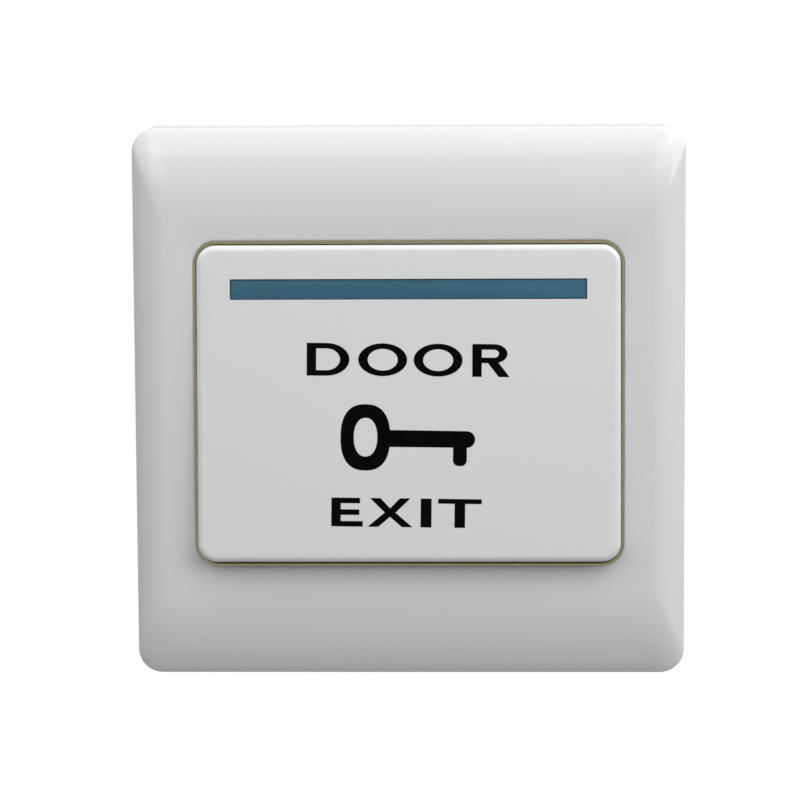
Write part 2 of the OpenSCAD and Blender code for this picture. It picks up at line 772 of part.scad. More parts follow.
// Moving contacts: a button riveted on each end of the lever
module lever_contacts() color(silver) on_lever() {
    for (z = [-1, 1]) translate([0, 0, z * contact_z])
        rod_y(contact_r, -lever_front + brass_t, -lever_front + brass_t + contact_t);
}

cover_frame();
trim_ring();
mounting_plate();
switch_housing();
common_terminal();
open_terminal();
closed_terminal();
open_contact();
closed_contact();
clamp_plates();
terminal_screws();
housing_screws();
return_spring_left();
return_spring_right();
rocker_cap();
light_strip();
rocker_cradle();
plunger_spring();
plunger();
contact_lever();
lever_contacts();
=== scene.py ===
import math

import bmesh
import bpy
from mathutils import Matrix
from mathutils import Vector


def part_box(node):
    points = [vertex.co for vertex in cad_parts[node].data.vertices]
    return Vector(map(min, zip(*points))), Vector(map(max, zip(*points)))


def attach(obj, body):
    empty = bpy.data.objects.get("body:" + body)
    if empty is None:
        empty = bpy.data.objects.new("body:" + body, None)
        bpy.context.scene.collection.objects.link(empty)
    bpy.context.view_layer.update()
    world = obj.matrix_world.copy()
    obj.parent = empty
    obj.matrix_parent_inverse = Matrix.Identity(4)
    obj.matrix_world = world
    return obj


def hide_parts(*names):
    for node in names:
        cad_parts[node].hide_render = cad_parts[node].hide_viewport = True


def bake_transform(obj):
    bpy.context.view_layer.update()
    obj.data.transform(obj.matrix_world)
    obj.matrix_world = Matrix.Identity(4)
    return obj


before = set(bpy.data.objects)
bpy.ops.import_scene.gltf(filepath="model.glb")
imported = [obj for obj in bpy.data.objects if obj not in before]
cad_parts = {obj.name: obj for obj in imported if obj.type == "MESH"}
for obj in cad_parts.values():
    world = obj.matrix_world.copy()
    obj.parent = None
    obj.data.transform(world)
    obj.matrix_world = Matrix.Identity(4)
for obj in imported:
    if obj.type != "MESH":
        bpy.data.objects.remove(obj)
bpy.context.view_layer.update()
MM = 0.001


# Mounting plate
# A square plate of stiff grey-white plastic, injection-moulded with the two slots for the box screws,
# the lugs for the rocker's pins and the four bosses that take the screws of the housing.
FEW_PATCHES = 0.3
MANY_PATCHES = 0.7


def srgb(red, green, blue):
    """A colour given in the 0 to 255 steps of a paint card, as the linear values that a shader takes."""
    steps = [value / 255 for value in (red, green, blue)]
    return [s / 12.92 if s <= 0.04045 else ((s + 0.055) / 1.055) ** 2.4 for s in steps] + [1.0]


def shader(name):
    """A new node material, with its node list, its link list and the shader itself."""
    material = bpy.data.materials.new(name)
    material.use_nodes = True
    tree = material.node_tree
    return material, tree.nodes, tree.links, tree.nodes["Principled BSDF"]


def noise(nodes, links, per_metre, detail, stretch=(1, 1, 1)):
    """Noise fixed to the piece, with this many patches to a metre."""
    place = nodes.new("ShaderNodeTexCoord")
    scale = nodes.new("ShaderNodeMapping")
    scale.inputs["Scale"].default_value = stretch
    pattern = nodes.new("ShaderNodeTexNoise")
    pattern.inputs["Scale"].default_value = per_metre
    pattern.inputs["Detail"].default_value = detail
    links.new(place.outputs["Object"], scale.inputs["Vector"])
    links.new(scale.outputs["Vector"], pattern.inputs["Vector"])
    return pattern.outputs["Fac"]


def spread(nodes, links, pattern, low, high):
    """The pattern's values laid out between two numbers."""
    span = nodes.new("ShaderNodeMapRange")
    span.inputs["From Min"].default_value = FEW_PATCHES
    span.inputs["From Max"].default_value = MANY_PATCHES
    span.inputs["To Min"].default_value = low
    span.inputs["To Max"].default_value = high
    links.new(pattern, span.inputs["Value"])
    return span.outputs["Result"]


def tinted(nodes, links, pattern, colour, change):
    """The colour, lighter and darker by this share where the pattern is high and low."""
    ramp = nodes.new("ShaderNodeValToRGB")
    ramp.color_ramp.elements[0].position = FEW_PATCHES
    ramp.color_ramp.elements[1].position = MANY_PATCHES
    ramp.color_ramp.elements[0].color = [c * (1 - change) for c in colour[:3]] + [1]
    ramp.color_ramp.elements[1].color = [min(c * (1 + change), 1) for c in colour[:3]] + [1]
    links.new(pattern, ramp.inputs["Fac"])
    return ramp.outputs["Color"]


def relief(nodes, links, pattern, depth, under=None):
    """Bumps as deep as this many millimetres, laid over other bumps if there are any."""
    bump = nodes.new("ShaderNodeBump")
    bump.inputs["Strength"].default_value = 1
    bump.inputs["Distance"].default_value = depth * MM
    links.new(pattern, bump.inputs["Height"])
    if under:
        links.new(under, bump.inputs["Normal"])
    return bump.outputs["Normal"]


SHRINK_WAVE = 0.001


def moulded(name, colour, roughness, grain, change=0.006):
    """Moulded plastic: cloudy tint, polish that varies, slow waves from shrinkage, grain of the mould."""
    material, nodes, links, body = shader(name)
    clouds = noise(nodes, links, 30, 2)
    links.new(tinted(nodes, links, clouds, colour, change), body.inputs["Base Color"])
    wear = noise(nodes, links, 90, 2)
    links.new(spread(nodes, links, wear, roughness * 0.96, roughness * 1.04), body.inputs["Roughness"])
    waves = relief(nodes, links, noise(nodes, links, 160, 1), SHRINK_WAVE)
    links.new(relief(nodes, links, noise(nodes, links, 3500, 2), grain, waves), body.inputs["Normal"])
    body.inputs["IOR"].default_value = 1.49
    return material


def dress(node, finish, edge):
    """Gives a solid of the frame its finish and breaks its sharp edges by this many millimetres."""
    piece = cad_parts[node]
    piece.data.materials.clear()
    piece.data.materials.append(finish)
    weld = piece.modifiers.new("weld", "WELD")
    weld.merge_threshold = 0.002 * MM
    broken = piece.modifiers.new("broken edges", "BEVEL")
    broken.width = edge * MM
    broken.segments = 2
    broken.angle_limit = math.radians(35)
    even = piece.modifiers.new("even shading", "WEIGHTED_NORMAL")
    even.keep_sharp = True


plate_plastic = moulded("plate plastic", srgb(206, 208, 206), 0.42, 0.004)
dress("mounting_plate", plate_plastic, 0.15)


# Switch housing
# A box of grey plastic behind the plate, open to the front, with three terminal wells in two bars
# at the rear. It is moulded in one piece and held to the plate by four screws.
housing_plastic = moulded("housing plastic", srgb(188, 190, 191), 0.5, 0.006)
dress("switch_housing", housing_plastic, 0.15)


# Terminals and fixed contacts
# Three brass strips punched from sheet and laid in the floor of the housing. The common one ends in
# a yoke for the lever. The other two carry a silver button riveted through the strip.
def metal(name, colour, roughness, change, scratch, stretch=(1, 1, 1)):
    """Bare metal: a tint that shifts with handling, a polish that varies and fine marks along its grain."""
    material, nodes, links, body = shader(name)
    body.inputs["Metallic"].default_value = 1
    stains = noise(nodes, links, 120, 3)
    links.new(tinted(nodes, links, stains, colour, change), body.inputs["Base Color"])
    marks = noise(nodes, links, 900, 3, stretch)
    links.new(spread(nodes, links, marks, roughness * 0.7, roughness * 1.3), body.inputs["Roughness"])
    links.new(relief(nodes, links, marks, scratch), body.inputs["Normal"])
    return material


ALONG_Z = (1, 1, 0.08)
brass = metal("brass strip", srgb(214, 182, 112), 0.3, 0.08, 0.002, ALONG_Z)
silver = metal("contact silver", srgb(222, 221, 216), 0.22, 0.04, 0.001)
for terminal in ("common_terminal", "open_terminal", "closed_terminal"):
    dress(terminal, brass, 0.1)
for contact in ("open_contact", "closed_contact"):
    dress(contact, silver, 0.12)


# Clamp plates
# Three square plates of zinc-plated steel, punched with two edges bent forward to hold the wire. They
# lie loose under the heads of the terminal screws.
zinc = metal("zinc-plated steel", srgb(190, 194, 198), 0.34, 0.07, 0.0015)
dress("clamp_plates", zinc, 0.12)


# Terminal screws and housing screws
# Machine screws of plated brass that press the clamp plates, and self-cutting steel screws through the
# ears of the housing. Both are headed and rolled, with a slot and a cross for the driver.
SMOOTH_TO = math.radians(30)


def mesh_of(name, points, faces):
    """A mesh object from points in millimetres, its faces turned outwards and shaded smooth."""
    mesh = bpy.data.meshes.new(name)
    mesh.from_pydata([(x * MM, y * MM, z * MM) for x, y, z in points], [], faces)
    shape = bmesh.new()
    shape.from_mesh(mesh)
    bmesh.ops.recalc_face_normals(shape, faces=shape.faces)
    shape.to_mesh(mesh)
    shape.free()
    mesh.shade_smooth()
    mesh.set_sharp_from_angle(angle=SMOOTH_TO)
    piece = bpy.data.objects.new(name, mesh)
    bpy.context.scene.collection.objects.link(piece)
    return piece


def skin(name, rings, round_trip=False):
    """One closed skin over rings that all have the same number of points. Its two ends are filled,
    or joined to each other if the rings make a round trip."""
    count = len(rings[0])
    total = len(rings)
    faces = []
    for i in range(total if round_trip else total - 1):
        here = i * count
        there = (i + 1) % total * count
        for k in range(count):
            beside = (k + 1) % count
            faces.append((here + k, here + beside, there + beside, there + k))
    if not round_trip:
        faces.append(tuple(range(count)))
        faces.append(tuple((total - 1) * count + k for k in range(count)))
    return mesh_of(name, [point for ring in rings for point in ring], faces)


def worked(piece, added=(), cut=()):
    """The piece with others moulded onto it and others cut out of it, as one closed skin."""
    for others, operation in ((added, "UNION"), (cut, "DIFFERENCE")):
        for other in others:
            step = piece.modifiers.new(operation.lower(), "BOOLEAN")
            step.operation = operation
            step.solver = "EXACT"
            step.object = other
    bpy.context.view_layer.update()
    graph = bpy.context.evaluated_depsgraph_get()
    mesh = bpy.data.meshes.new_from_object(piece.evaluated_get(graph))
    piece.modifiers.clear()
    piece.data = mesh
    for other in (*added, *cut):
        bpy.data.objects.remove(other)
    mesh.shade_smooth()
    mesh.set_sharp_from_angle(angle=SMOOTH_TO)
    return piece


def fit(piece, finish, body):
    """Gives a piece its finish, and lets it move with its body."""
    piece.data.materials.clear()
    piece.data.materials.append(finish)
    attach(piece, body)


def circle(radius, y, sides):
    """Ring round the Y axis at this depth."""
    turn = [2 * math.pi * k / sides for k in range(sides)]
    return [(radius * math.cos(a), y, radius * math.sin(a)) for a in turn]


THREAD_DEPTH = 0.3


def threaded(start, end, radius, pitch, sides):
    """Rings of a screw thread from start to end, which fades in and out over one turn."""
    depth = THREAD_DEPTH * pitch
    rows = int(6 * (end - start) / pitch)
    rings = []
    for i in range(rows + 1):
        y = start + (end - start) * i / rows
        fade = min(1, (y - start) / pitch, (end - y) / pitch)
        ring = []
        for k in range(sides):
            a = 2 * math.pi * k / sides
            phase = ((y - start) / pitch - k / sides) % 1
            r = radius - depth + depth * fade * (1 - abs(2 * phase - 1))
            ring.append((r * math.cos(a), y, r * math.sin(a)))
        rings.append(ring)
    return rings


def wedge(length, width, top, bottom):
    """Cutter for a slot: as wide as given at the top and a third narrower at the bottom."""
    rings = []
    for y, share in ((bottom, 0.66), (top, 1.1)):
        x = length / 2
        z = width / 2 * share
        rings.append([(x, y, z), (-x, y, z), (-x, y, -z), (x, y, -z)])
    return skin("wedge", rings)


def screw(radius, head_radius, head_height, tip, seat, pitch):
    """Screw along Y with its head towards the rear: point, thread, domed head, through slot and cross."""
    sides = 28
    core = radius - THREAD_DEPTH * pitch
    rings = [circle(core * 0.55, tip, sides), circle(core, tip + 0.45, sides)]
    rings += threaded(tip + 0.5, seat - 0.3, radius, pitch, sides)
    rings += [circle(core, seat, sides), circle(head_radius - 0.12, seat, sides)]
    rings += [circle(head_radius, seat + 0.12, sides)]
    top = seat + head_height
    edge = 0.35 * head_height
    for step in range(7):
        a = math.radians(90 * step / 6)
        rings.append(circle(head_radius - edge * (1 - math.cos(a)), top - edge * (1 - math.sin(a)), sides))
    rings.append(circle(head_radius * 0.3, top, sides))
    piece = skin("screw", rings)
    slot = wedge(2.2 * head_radius, head_radius / 4, top + 0.2, top - head_height * 0.5)
    cross, along = (wedge(head_radius * 1.05, head_radius / 3.6, top + 0.2, top - head_height * 0.62)
                    for _ in range(2))
    cross.matrix_world = Matrix.Rotation(math.radians(90), 4, "Y")
    return worked(piece, cut=(slot, cross, along))


def screws(name, sites, turns, master):
    """One mesh of screws at these places, each turned as far as it was driven."""
    shape = bmesh.new()
    for (x, z), turn in zip(sites, turns):
        mesh = master.data.copy()
        spin = Matrix.Rotation(math.radians(turn), 4, "Y")
        mesh.transform(Matrix.Translation((x * MM, 0, z * MM)) @ spin)
        shape.from_mesh(mesh)
        bpy.data.meshes.remove(mesh)
    mesh = bpy.data.meshes.new(name)
    shape.to_mesh(mesh)
    shape.free()
    bpy.data.objects.remove(master)
    piece = bpy.data.objects.new(name, mesh)
    bpy.context.scene.collection.objects.link(piece)
    return piece


def middle(node):
    """Middle of a solid's box, in millimetres."""
    low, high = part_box(node)
    return (low + high) / 2 / MM


TERMINAL_X = 12
TERMINAL_Z = 17
TERMINAL_THREAD = 1.75
TERMINAL_HEAD = 3.1
TERMINAL_PITCH = 0.6
CLAMP_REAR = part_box("clamp_plates")[1].y / MM
SCREW_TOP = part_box("terminal_screws")[1].y / MM
SCREW_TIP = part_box("terminal_screws")[0].y / MM
terminal_sites = [(-TERMINAL_X, -TERMINAL_Z), (TERMINAL_X, -TERMINAL_Z), (TERMINAL_X, TERMINAL_Z)]
screw_brass = metal("plated brass", srgb(206, 186, 140), 0.28, 0.06, 0.001)
terminal_head_height = SCREW_TOP - CLAMP_REAR
terminal_screw = screw(TERMINAL_THREAD, TERMINAL_HEAD, terminal_head_height, SCREW_TIP, CLAMP_REAR,
                       TERMINAL_PITCH)
terminal_set = screws("terminal_screw_set", terminal_sites, (20, 95, 140), terminal_screw)
fit(terminal_set, screw_brass, "root")
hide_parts("terminal_screws")

EAR_REAR = 2.6
EAR_THREAD = 1.25
EAR_HEAD = 2.4
EAR_PITCH = 0.8
EAR_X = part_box("housing_screws")[1].x / MM - EAR_HEAD
EAR_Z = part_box("housing_screws")[1].z / MM - EAR_HEAD
ear_low, ear_high = (side.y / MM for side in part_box("housing_screws"))
ear_sites = [(-EAR_X, -EAR_Z), (EAR_X, -EAR_Z), (EAR_X, EAR_Z), (-EAR_X, EAR_Z)]
housing_screw = screw(EAR_THREAD, EAR_HEAD, ear_high - EAR_REAR, ear_low, EAR_REAR, EAR_PITCH)
housing_set = screws("housing_screw_set", ear_sites, (35, 110, 75, 160), housing_screw)
fit(housing_set, zinc, "root")
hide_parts("housing_screws")


# Return springs
# Two compression springs of hard steel wire with closed ends. They stand on posts of the housing and
# push the lower half of the rocker out.
def coil(name, radius, wire, start, end, turns):
    """Compression spring along Y, its first and last turns wound close."""
    steps = 28
    sides = 12
    shut = 0.8
    close_pitch = 2.06 * wire
    open_pitch = (end - start - 2 * wire - 2 * shut * close_pitch) / (turns - 2 * shut)
    rings = []
    for i in range(int(turns * steps) + 1):
        t = i / steps
        y = start + wire + close_pitch * min(t, shut)
        y += open_pitch * min(max(t - shut, 0), turns - 2 * shut)
        y += close_pitch * max(t - (turns - shut), 0)
        a = 2 * math.pi * t
        ring = []
        for k in range(sides):
            b = 2 * math.pi * k / sides
            r = radius + wire * math.cos(b)
            ring.append((r * math.cos(a), y + wire * math.sin(b), r * math.sin(a)))
        rings.append(ring)
    return skin(name, rings)


spring_wire = metal("spring steel", srgb(168, 170, 174), 0.24, 0.06, 0.001)
RETURN_COIL = 2.2
RETURN_WIRE = 0.25
RETURN_TURNS = 7
for side in ("left", "right"):
    node = "return_spring_" + side
    low, high = (corner.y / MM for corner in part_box(node))
    spring = coil("return_coil_" + side, RETURN_COIL, RETURN_WIRE, low, high, RETURN_TURNS)
    spring.location = (middle(node).x * MM, 0, middle(node).z * MM)
    spring.data.materials.append(spring_wire)
    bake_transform(spring)
    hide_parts(node)


# Contact lever
# A see-saw punched from brass strip with two pins that turn in the yoke. A silver button is riveted on
# each end of it, and the plunger's round tip slides across its middle.
dress("contact_lever", brass, 0.1)
dress("lever_contacts", silver, 0.12)


# Plunger and plunger spring
# A round-ended pin of grey plastic in the cradle's tube, pressed on the lever by a small steel spring. It
# gives way as its tip crosses the middle of the lever.
PIVOT_DEPTH = 5.9
REST_TILT = 3.3
PLUNGER_COIL = 1.7
PLUNGER_WIRE = 0.18
PLUNGER_TURNS = 7
COIL_FRONT = 0.3
COIL_REAR = 5.1
tilt = Matrix.Rotation(math.radians(-REST_TILT), 4, "X")
to_rocker = Matrix.Translation((0, -PIVOT_DEPTH * MM, 0)) @ tilt
dress("plunger", housing_plastic, 0.1)
plunger_spring = coil("plunger_coil", PLUNGER_COIL, PLUNGER_WIRE, COIL_FRONT, COIL_REAR, PLUNGER_TURNS)
plunger_spring.data.materials.append(spring_wire)
plunger_spring.data.transform(to_rocker)
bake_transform(plunger_spring)
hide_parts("plunger_spring")


# Rocker cradle
# The inner frame of the rocker, moulded of tough white plastic with the two trunnion pins, the tube
# for the plunger and the posts for the springs. The cap clips onto it.
cradle_plastic = moulded("cradle plastic", srgb(214, 214, 208), 0.36, 0.003)
dress("rocker_cradle", cradle_plastic, 0.12)


# Cover frame
# A square shell of glossy white plastic with a crowned border, broad above and below and narrow at the
# sides. It clips onto the mounting plate with four hooks and is prised off at a notch in its lower edge.
def rounded(width, height, radius, y, steps=10):
    """Rounded rectangle at depth y, anticlockwise seen from the front."""
    ring = []
    for quarter, (right, up) in enumerate(((1, 1), (-1, 1), (-1, -1), (1, -1))):
        for k in range(steps + 1):
            a = math.radians(90 * (quarter + k / steps))
            x = right * (width / 2 - radius) + radius * math.cos(a)
            z = up * (height / 2 - radius) + radius * math.sin(a)
            ring.append((x, y, z))
    return ring


def block(x0, x1, y0, y1, z0, z1, edge):
    """Block with softened edges along Y, to be moulded onto a piece or cut out of it."""
    ring = rounded(x1 - x0, z1 - z0, edge, 0, 3)
    x = (x0 + x1) / 2
    z = (z0 + z1) / 2
    return skin("block", [[(x + px, y, z + pz) for px, _, pz in ring] for y in (y0, y1)])


def extrusion(profile, x0, x1):
    """Solid with this outline in Y and Z, from x0 to x1."""
    return skin("extrusion", [[(x, y, z) for y, z in profile] for x in (x0, x1)])


PLATE = 86
PLATE_CORNER = 3.8
FRONT = 9.2
CROWN_START = 6.2
SIDE_BAND = 5.3
END_BAND = 13.3
FLAT_CORNER = 0.8
WALL = 1.8
FRONT_WALL = 2
REAR_GAP = 0.3
RING_W = 67.1
RING_H = 51.2
RING_CORNER = 3.7
LIP = 0.05
RING_SLACK = 0.01


def crown(u):
    """Height of the crown, 0 to 1, at u from the plate's edge to its flat zone."""
    return (1 - (1 - u) ** 2) ** 0.8


def crown_ring(u, inset, drop):
    """Ring of the crowned border at u, moved in and back by the wall's thickness on its inner side."""
    width = PLATE - 2 * SIDE_BAND * u - 2 * inset
    height = PLATE - 2 * END_BAND * u - 2 * inset
    corner = FLAT_CORNER + (PLATE_CORNER - FLAT_CORNER) * (1 - u ** 3)
    y = -(CROWN_START - drop) - (FRONT - CROWN_START) * crown(u)
    return rounded(width, height, max(corner - inset, FLAT_CORNER), y)


def cover_rings():
    """The shell's section, once round: outer wall, crown, opening, inner side of the crown, rear rim."""
    count = 28
    crown_steps = [(k / count) ** 1.7 for k in range(count + 1)]
    opening_w = RING_W - 2 * LIP
    opening_h = RING_H - 2 * LIP
    corner = RING_CORNER - LIP
    soft = 0.35
    rings = [rounded(PLATE, PLATE, PLATE_CORNER, -REAR_GAP - 0.1)]
    rings += [crown_ring(u, 0, 0) for u in crown_steps]
    for step in range(7):
        a = math.radians(90 * step / 6)
        out = soft * (1 - math.sin(a))
        y = -FRONT + soft * (1 - math.cos(a))
        rings.append(rounded(opening_w + 2 * out, opening_h + 2 * out, corner + out, y))
    rings += [rounded(opening_w, opening_h, corner, -FRONT + FRONT_WALL)]
    rings += [crown_ring(u, WALL, FRONT_WALL) for u in reversed(crown_steps)]
    inner = PLATE - 2 * WALL
    rings += [rounded(inner, inner, PLATE_CORNER - WALL, -REAR_GAP - 0.1)]
    rings += [rounded(inner + 0.2, inner + 0.2, PLATE_CORNER - WALL, -REAR_GAP)]
    rings += [rounded(PLATE - 0.2, PLATE - 0.2, PLATE_CORNER - 0.1, -REAR_GAP)]
    return rings


HOOK_X = 24
HOOK_W = 8
HOOK_REACH = 1.2
HOOK_BITE = 0.7
NOSE = 0.65
CARRIER = 80
CARRIER_FRONT = -2.6
FOOT = 5
FOOT_TOP = -6.4


def hook(side, end):
    """Hook inside the upper or lower wall, its nose behind the edge of the mounting plate."""
    wall = PLATE / 2 - WALL
    root = -CROWN_START + FRONT_WALL - 0.4
    tip = -REAR_GAP - 0.1
    nose = tip - NOSE
    profile = [(root, 0.3), (tip, 0.3), (tip, -HOOK_REACH - HOOK_BITE / 2)]
    profile += [(nose, -HOOK_REACH - HOOK_BITE), (nose, 0.3 - HOOK_REACH), (root, 0.3 - HOOK_REACH)]
    profile = [(y, end * (wall + z)) for y, z in profile]
    return extrusion(profile, side * HOOK_X - HOOK_W / 2, side * HOOK_X + HOOK_W / 2)


def corner_foot(side, end):
    """Foot in a corner of the shell that stands on the mounting plate."""
    x = side * (CARRIER / 2 - FOOT)
    z = end * (CARRIER / 2 - FOOT)
    half = FOOT / 2
    return block(x - half, x + half, FOOT_TOP, CARRIER_FRONT, z - half, z + half, 0.3)


corners = [(side, end) for side in (-1, 1) for end in (-1, 1)]
cover = skin("cover_shell", cover_rings(), round_trip=True)
hooks = [hook(*corner) for corner in corners]
feet = [corner_foot(*corner) for corner in corners]
PRY_W = 9
PRY_DEPTH = 1.1
PRY_BITE = 1.3
lower_edge = -PLATE / 2
pry_front = -REAR_GAP - PRY_DEPTH
pry_notch = block(-PRY_W / 2, PRY_W / 2, pry_front, 1, lower_edge - 1, lower_edge + PRY_BITE, 0.2)
worked(cover, added=hooks + feet, cut=(pry_notch,))
cover_plastic = moulded("cover plastic", srgb(215, 215, 216), 0.14, 0.0003)
fit(cover, cover_plastic, "root")
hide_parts("cover_frame")


# Trim ring
# A thin rectangular ring with a dull olive-gold metal finish that lines the opening of the cover. A
# flange behind the cover holds it.
LAND = 0.55
RING_DROP = 0.3
FLANGE = 1.5
FLANGE_T = 1.2


def ring_rings():
    """The ring's section, once round: land at the front, inner wall, flange at the rear."""
    flange_front = -FRONT + FRONT_WALL
    flange_rear = flange_front + FLANGE_T
    front = -FRONT + RING_DROP
    edge = LIP + RING_SLACK
    soft = 0.18
    inner_w = RING_W - 2 * LAND
    inner_h = RING_H - 2 * LAND
    outer_w = RING_W - 2 * edge
    outer_h = RING_H - 2 * edge
    rings = [rounded(outer_w, outer_h, RING_CORNER - edge, y) for y in (flange_front, front)]
    for step in range(6):
        a = math.radians(90 * step / 5)
        out = soft * (1 - math.sin(a))
        y = front + soft * (1 - math.cos(a))
        rings.append(rounded(inner_w + 2 * out, inner_h + 2 * out, RING_CORNER - LAND + out, y))
    rings.append(rounded(inner_w, inner_h, RING_CORNER - LAND, flange_rear))
    flange_w = RING_W + 2 * FLANGE
    flange_h = RING_H + 2 * FLANGE
    flange_corner = RING_CORNER + FLANGE
    rings.append(rounded(flange_w - 0.2, flange_h - 0.2, flange_corner - 0.1, flange_rear))
    rings.append(rounded(flange_w, flange_h, flange_corner, flange_rear - 0.1))
    rings.append(rounded(flange_w, flange_h, flange_corner, flange_front))
    return rings


ring = skin("gold_ring", ring_rings(), round_trip=True)
trim_gold = metal("olive gold", srgb(158, 150, 119), 0.34, 0.05, 0.0006)
fit(ring, trim_gold, "root")
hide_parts("trim_ring")


# Rocker cap
# The white push face, a shallow tray with rounded edges, moulded in glossy plastic with a window for
# the coloured strip, ribs behind the face and four clips that snap behind the cradle.
CAP_W = 65.86
CAP_H = 49.4
CAP_CORNER = 2.9
CAP_EDGE = 0.7
CAP_ROLL = 1.05
FACE = -5.0
INNER = FACE + 1.8
RIM = FACE + 6.2
RIM_T = 1.4
WEB_FRONT = INNER + 0.6
WEB_REAR = WEB_FRONT + 1.6
WEB_X = 17.5
CLIP_Z = 8
CLIP_W = 5
CLIP_T = 1.2
RIB_T = 1.2
RIB_X = (10, 25.5)
STRIP_W = 55.4
STRIP_H = 3.2
STRIP_Z = CAP_H / 2 - 6.85


def cap_rings():
    """The tray from its inner face over the rim to its front."""
    inner_w = CAP_W - 2 * RIM_T
    inner_h = CAP_H - 2 * RIM_T
    corner = CAP_CORNER - RIM_T
    rings = [rounded(inner_w - 0.6, inner_h - 0.6, corner - 0.3, INNER)]
    rings += [rounded(inner_w, inner_h, corner, INNER + 0.3)]
    rings += [rounded(inner_w, inner_h, corner, RIM - 0.1)]
    rings += [rounded(inner_w + 0.2, inner_h + 0.2, corner, RIM)]
    rings += [rounded(CAP_W - 0.2, CAP_H - 0.2, CAP_CORNER - 0.1, RIM)]
    rings += [rounded(CAP_W, CAP_H, CAP_CORNER, RIM - 0.1)]
    for step in range(9):
        a = math.radians(90 * step / 8)
        take = CAP_ROLL * (1 - math.cos(a))
        y = FACE + CAP_EDGE * (1 - math.sin(a))
        rings.append(rounded(CAP_W - 2 * take, CAP_H - 2 * take, CAP_CORNER - take, y))
    return rings


def clip(side, end):
    """Clip behind the face whose nose reaches under the edge of the cradle's web."""
    x = WEB_X + 0.2
    z = CLIP_Z * end
    half = CLIP_W / 2
    profile = [(x, INNER - 0.4), (x, WEB_REAR + 0.2), (x - 0.6, WEB_REAR + 0.2), (x, WEB_REAR + 0.9)]
    profile += [(x + CLIP_T, WEB_REAR + 0.9), (x + CLIP_T, INNER - 0.4)]
    return skin("clip", [[(side * px, py, z + dz) for px, py in profile] for dz in (-half, half)])


def rib(x, reach):
    """Rib behind the face, along Z."""
    foot = RIM_T + 5 - CAP_H / 2
    top = STRIP_Z - STRIP_H / 2 - 1.2
    return block(x - RIB_T / 2, x + RIB_T / 2, INNER - 0.4, reach, foot, top, 0.3)


cap = skin("push_cap", cap_rings())
ribs = [rib(side * x, reach) for x, reach in zip(RIB_X, (WEB_FRONT, INNER + 1)) for side in (-1, 1)]
clips = [clip(*corner) for corner in corners]
opening = [(x, z + STRIP_Z) for x, _, z in rounded(STRIP_W, STRIP_H, 0.15, 0, 4)]
window = skin("window", [[(x, y, z) for x, z in opening] for y in (FACE - 1, INNER + 1)])
worked(cap, added=ribs + clips, cut=(window,))
cap.data.transform(to_rocker)
cap_plastic = moulded("cap plastic", srgb(217, 219, 219), 0.24, 0.0003)
fit(cap, cap_plastic, "rocker")
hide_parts("rocker_cap")


# Coloured strip
# A bar of blue-tinted plastic that fills the window of the cap from behind. Its flange lies against
# the inner side of the face.
def strip_rings():
    """The strip from the rear of its flange to its face."""
    gap = 0.12
    face = FACE + 0.25
    soft = 0.22
    rings = [rounded(STRIP_W + 2, STRIP_H + 2, 0.3, y, 4) for y in (INNER + 0.8, INNER)]
    rings += [rounded(STRIP_W - gap, STRIP_H - gap, 0.15, INNER, 4)]
    for step in range(4):
        a = math.radians(90 * step / 3)
        take = gap + 2 * soft * (1 - math.cos(a))
        y = face + soft * (1 - math.sin(a))
        rings.append(rounded(STRIP_W - take, STRIP_H - take, 0.15 - take / 8, y, 4))
    return [[(x, y, z + STRIP_Z) for x, y, z in ring] for ring in rings]


strip = skin("blue_strip", strip_rings())
strip.data.transform(to_rocker)
strip_plastic = moulded("blue strip plastic", srgb(39, 91, 112), 0.3, 0.001, change=0.06)
fit(strip, strip_plastic, "rocker")
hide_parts("light_strip")


# Printed legend
# The word for what the button opens, a plain key sign and the word for what it is for, pad-printed in
# black ink on the face in wide block letters.
INK = 0.02
STEM = 1.47
BAR = 0.86


def arc(cx, cz, rx, rz, start, end, steps=16):
    """Points on an oval from one angle to another, in degrees."""
    angles = [math.radians(start + (end - start) * k / steps) for k in range(steps + 1)]
    return [(cx + rx * math.cos(a), cz + rz * math.sin(a)) for a in angles]


def oval(cx, cz, rx, rz):
    """A whole oval, once round."""
    return arc(cx, cz, rx, rz, 0, 360, 48)[:-1]


def fuller(loop, cx, cz, rx, rz, power):
    """An oval drawn out towards the corners of its box."""
    out = []
    for x, z in loop:
        u = (x - cx) / rx
        v = (z - cz) / rz
        grown = (abs(u) ** power + abs(v) ** power) ** (-1 / power)
        out.append((cx + rx * u * grown, cz + rz * v * grown))
    return out


def letter_d(w, h):
    bend = 0.46 * w
    outer = [(0, 0)] + arc(bend, h / 2, w - bend, h / 2, -90, 90) + [(0, h)]
    inner = [(STEM, BAR)] + arc(bend, h / 2, w - bend - STEM, h / 2 - BAR, -90, 90) + [(STEM, h - BAR)]
    return [outer, inner]


def letter_o(w, h):
    return [oval(w / 2, h / 2, w / 2, h / 2), oval(w / 2, h / 2, w / 2 - STEM, h / 2 - BAR)]


def letter_r(w, h):
    waist = 0.42 * h
    bend = 0.58 * w
    bowl = (h - waist) / 2
    outer = [(0, 0), (STEM, 0), (STEM, waist), (0.42 * w, waist), (w - 1.15 * STEM, 0), (w, 0)]
    outer += [(0.7 * w, waist + 0.02 * h)] + arc(bend, waist + bowl, 0.36 * w, bowl, -70, 90) + [(0, h)]
    inner = [(STEM, waist + BAR)] + arc(bend, waist + bowl, 0.36 * w - 0.9 * STEM, bowl - BAR, -90, 90)
    return [outer, inner + [(STEM, h - BAR)]]


